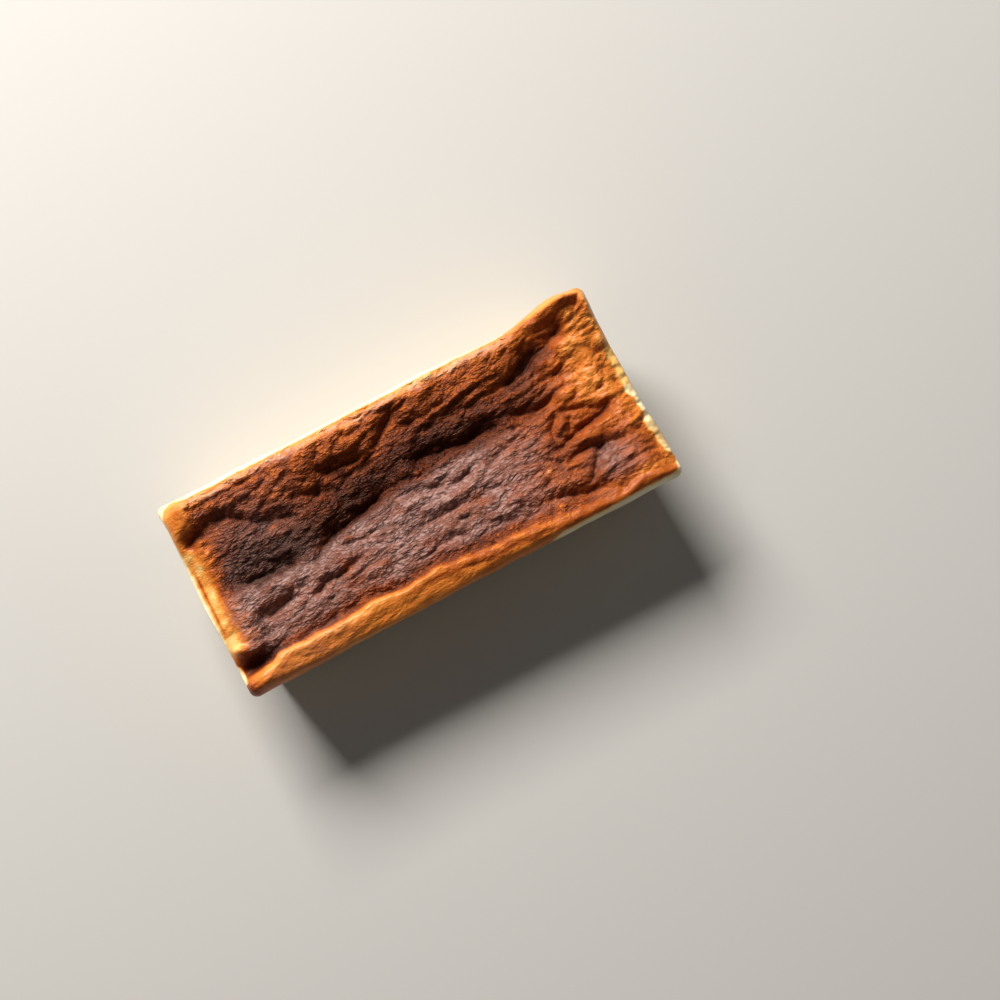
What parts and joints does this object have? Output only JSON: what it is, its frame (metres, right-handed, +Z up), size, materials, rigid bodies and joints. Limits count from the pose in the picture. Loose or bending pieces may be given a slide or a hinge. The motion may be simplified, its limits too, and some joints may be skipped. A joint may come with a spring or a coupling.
{
  "type": "cheesecake",
  "caption": "Whole baked cheesecake from a loaf tin: a tapered pale block with a sunken, wrinkled, dark-browned top between raised rims.",
  "frame": {"origin": "middle of the flat base, at the centre of the bounding box's bottom face", "axes": "+X along the length, towards the end with the tall raised corner; +Y across the width, towards the side with the higher rim; +Z up"},
  "size_m": [0.1816, 0.0822, 0.0519],
  "materials": {
    "crust": "satin, dark-browned baked skin, orange at the rims, on a pale cream body"
  },
  "bodies": {
    "root": {"cheesecake": "crust"}
  },
  "joints": []
}
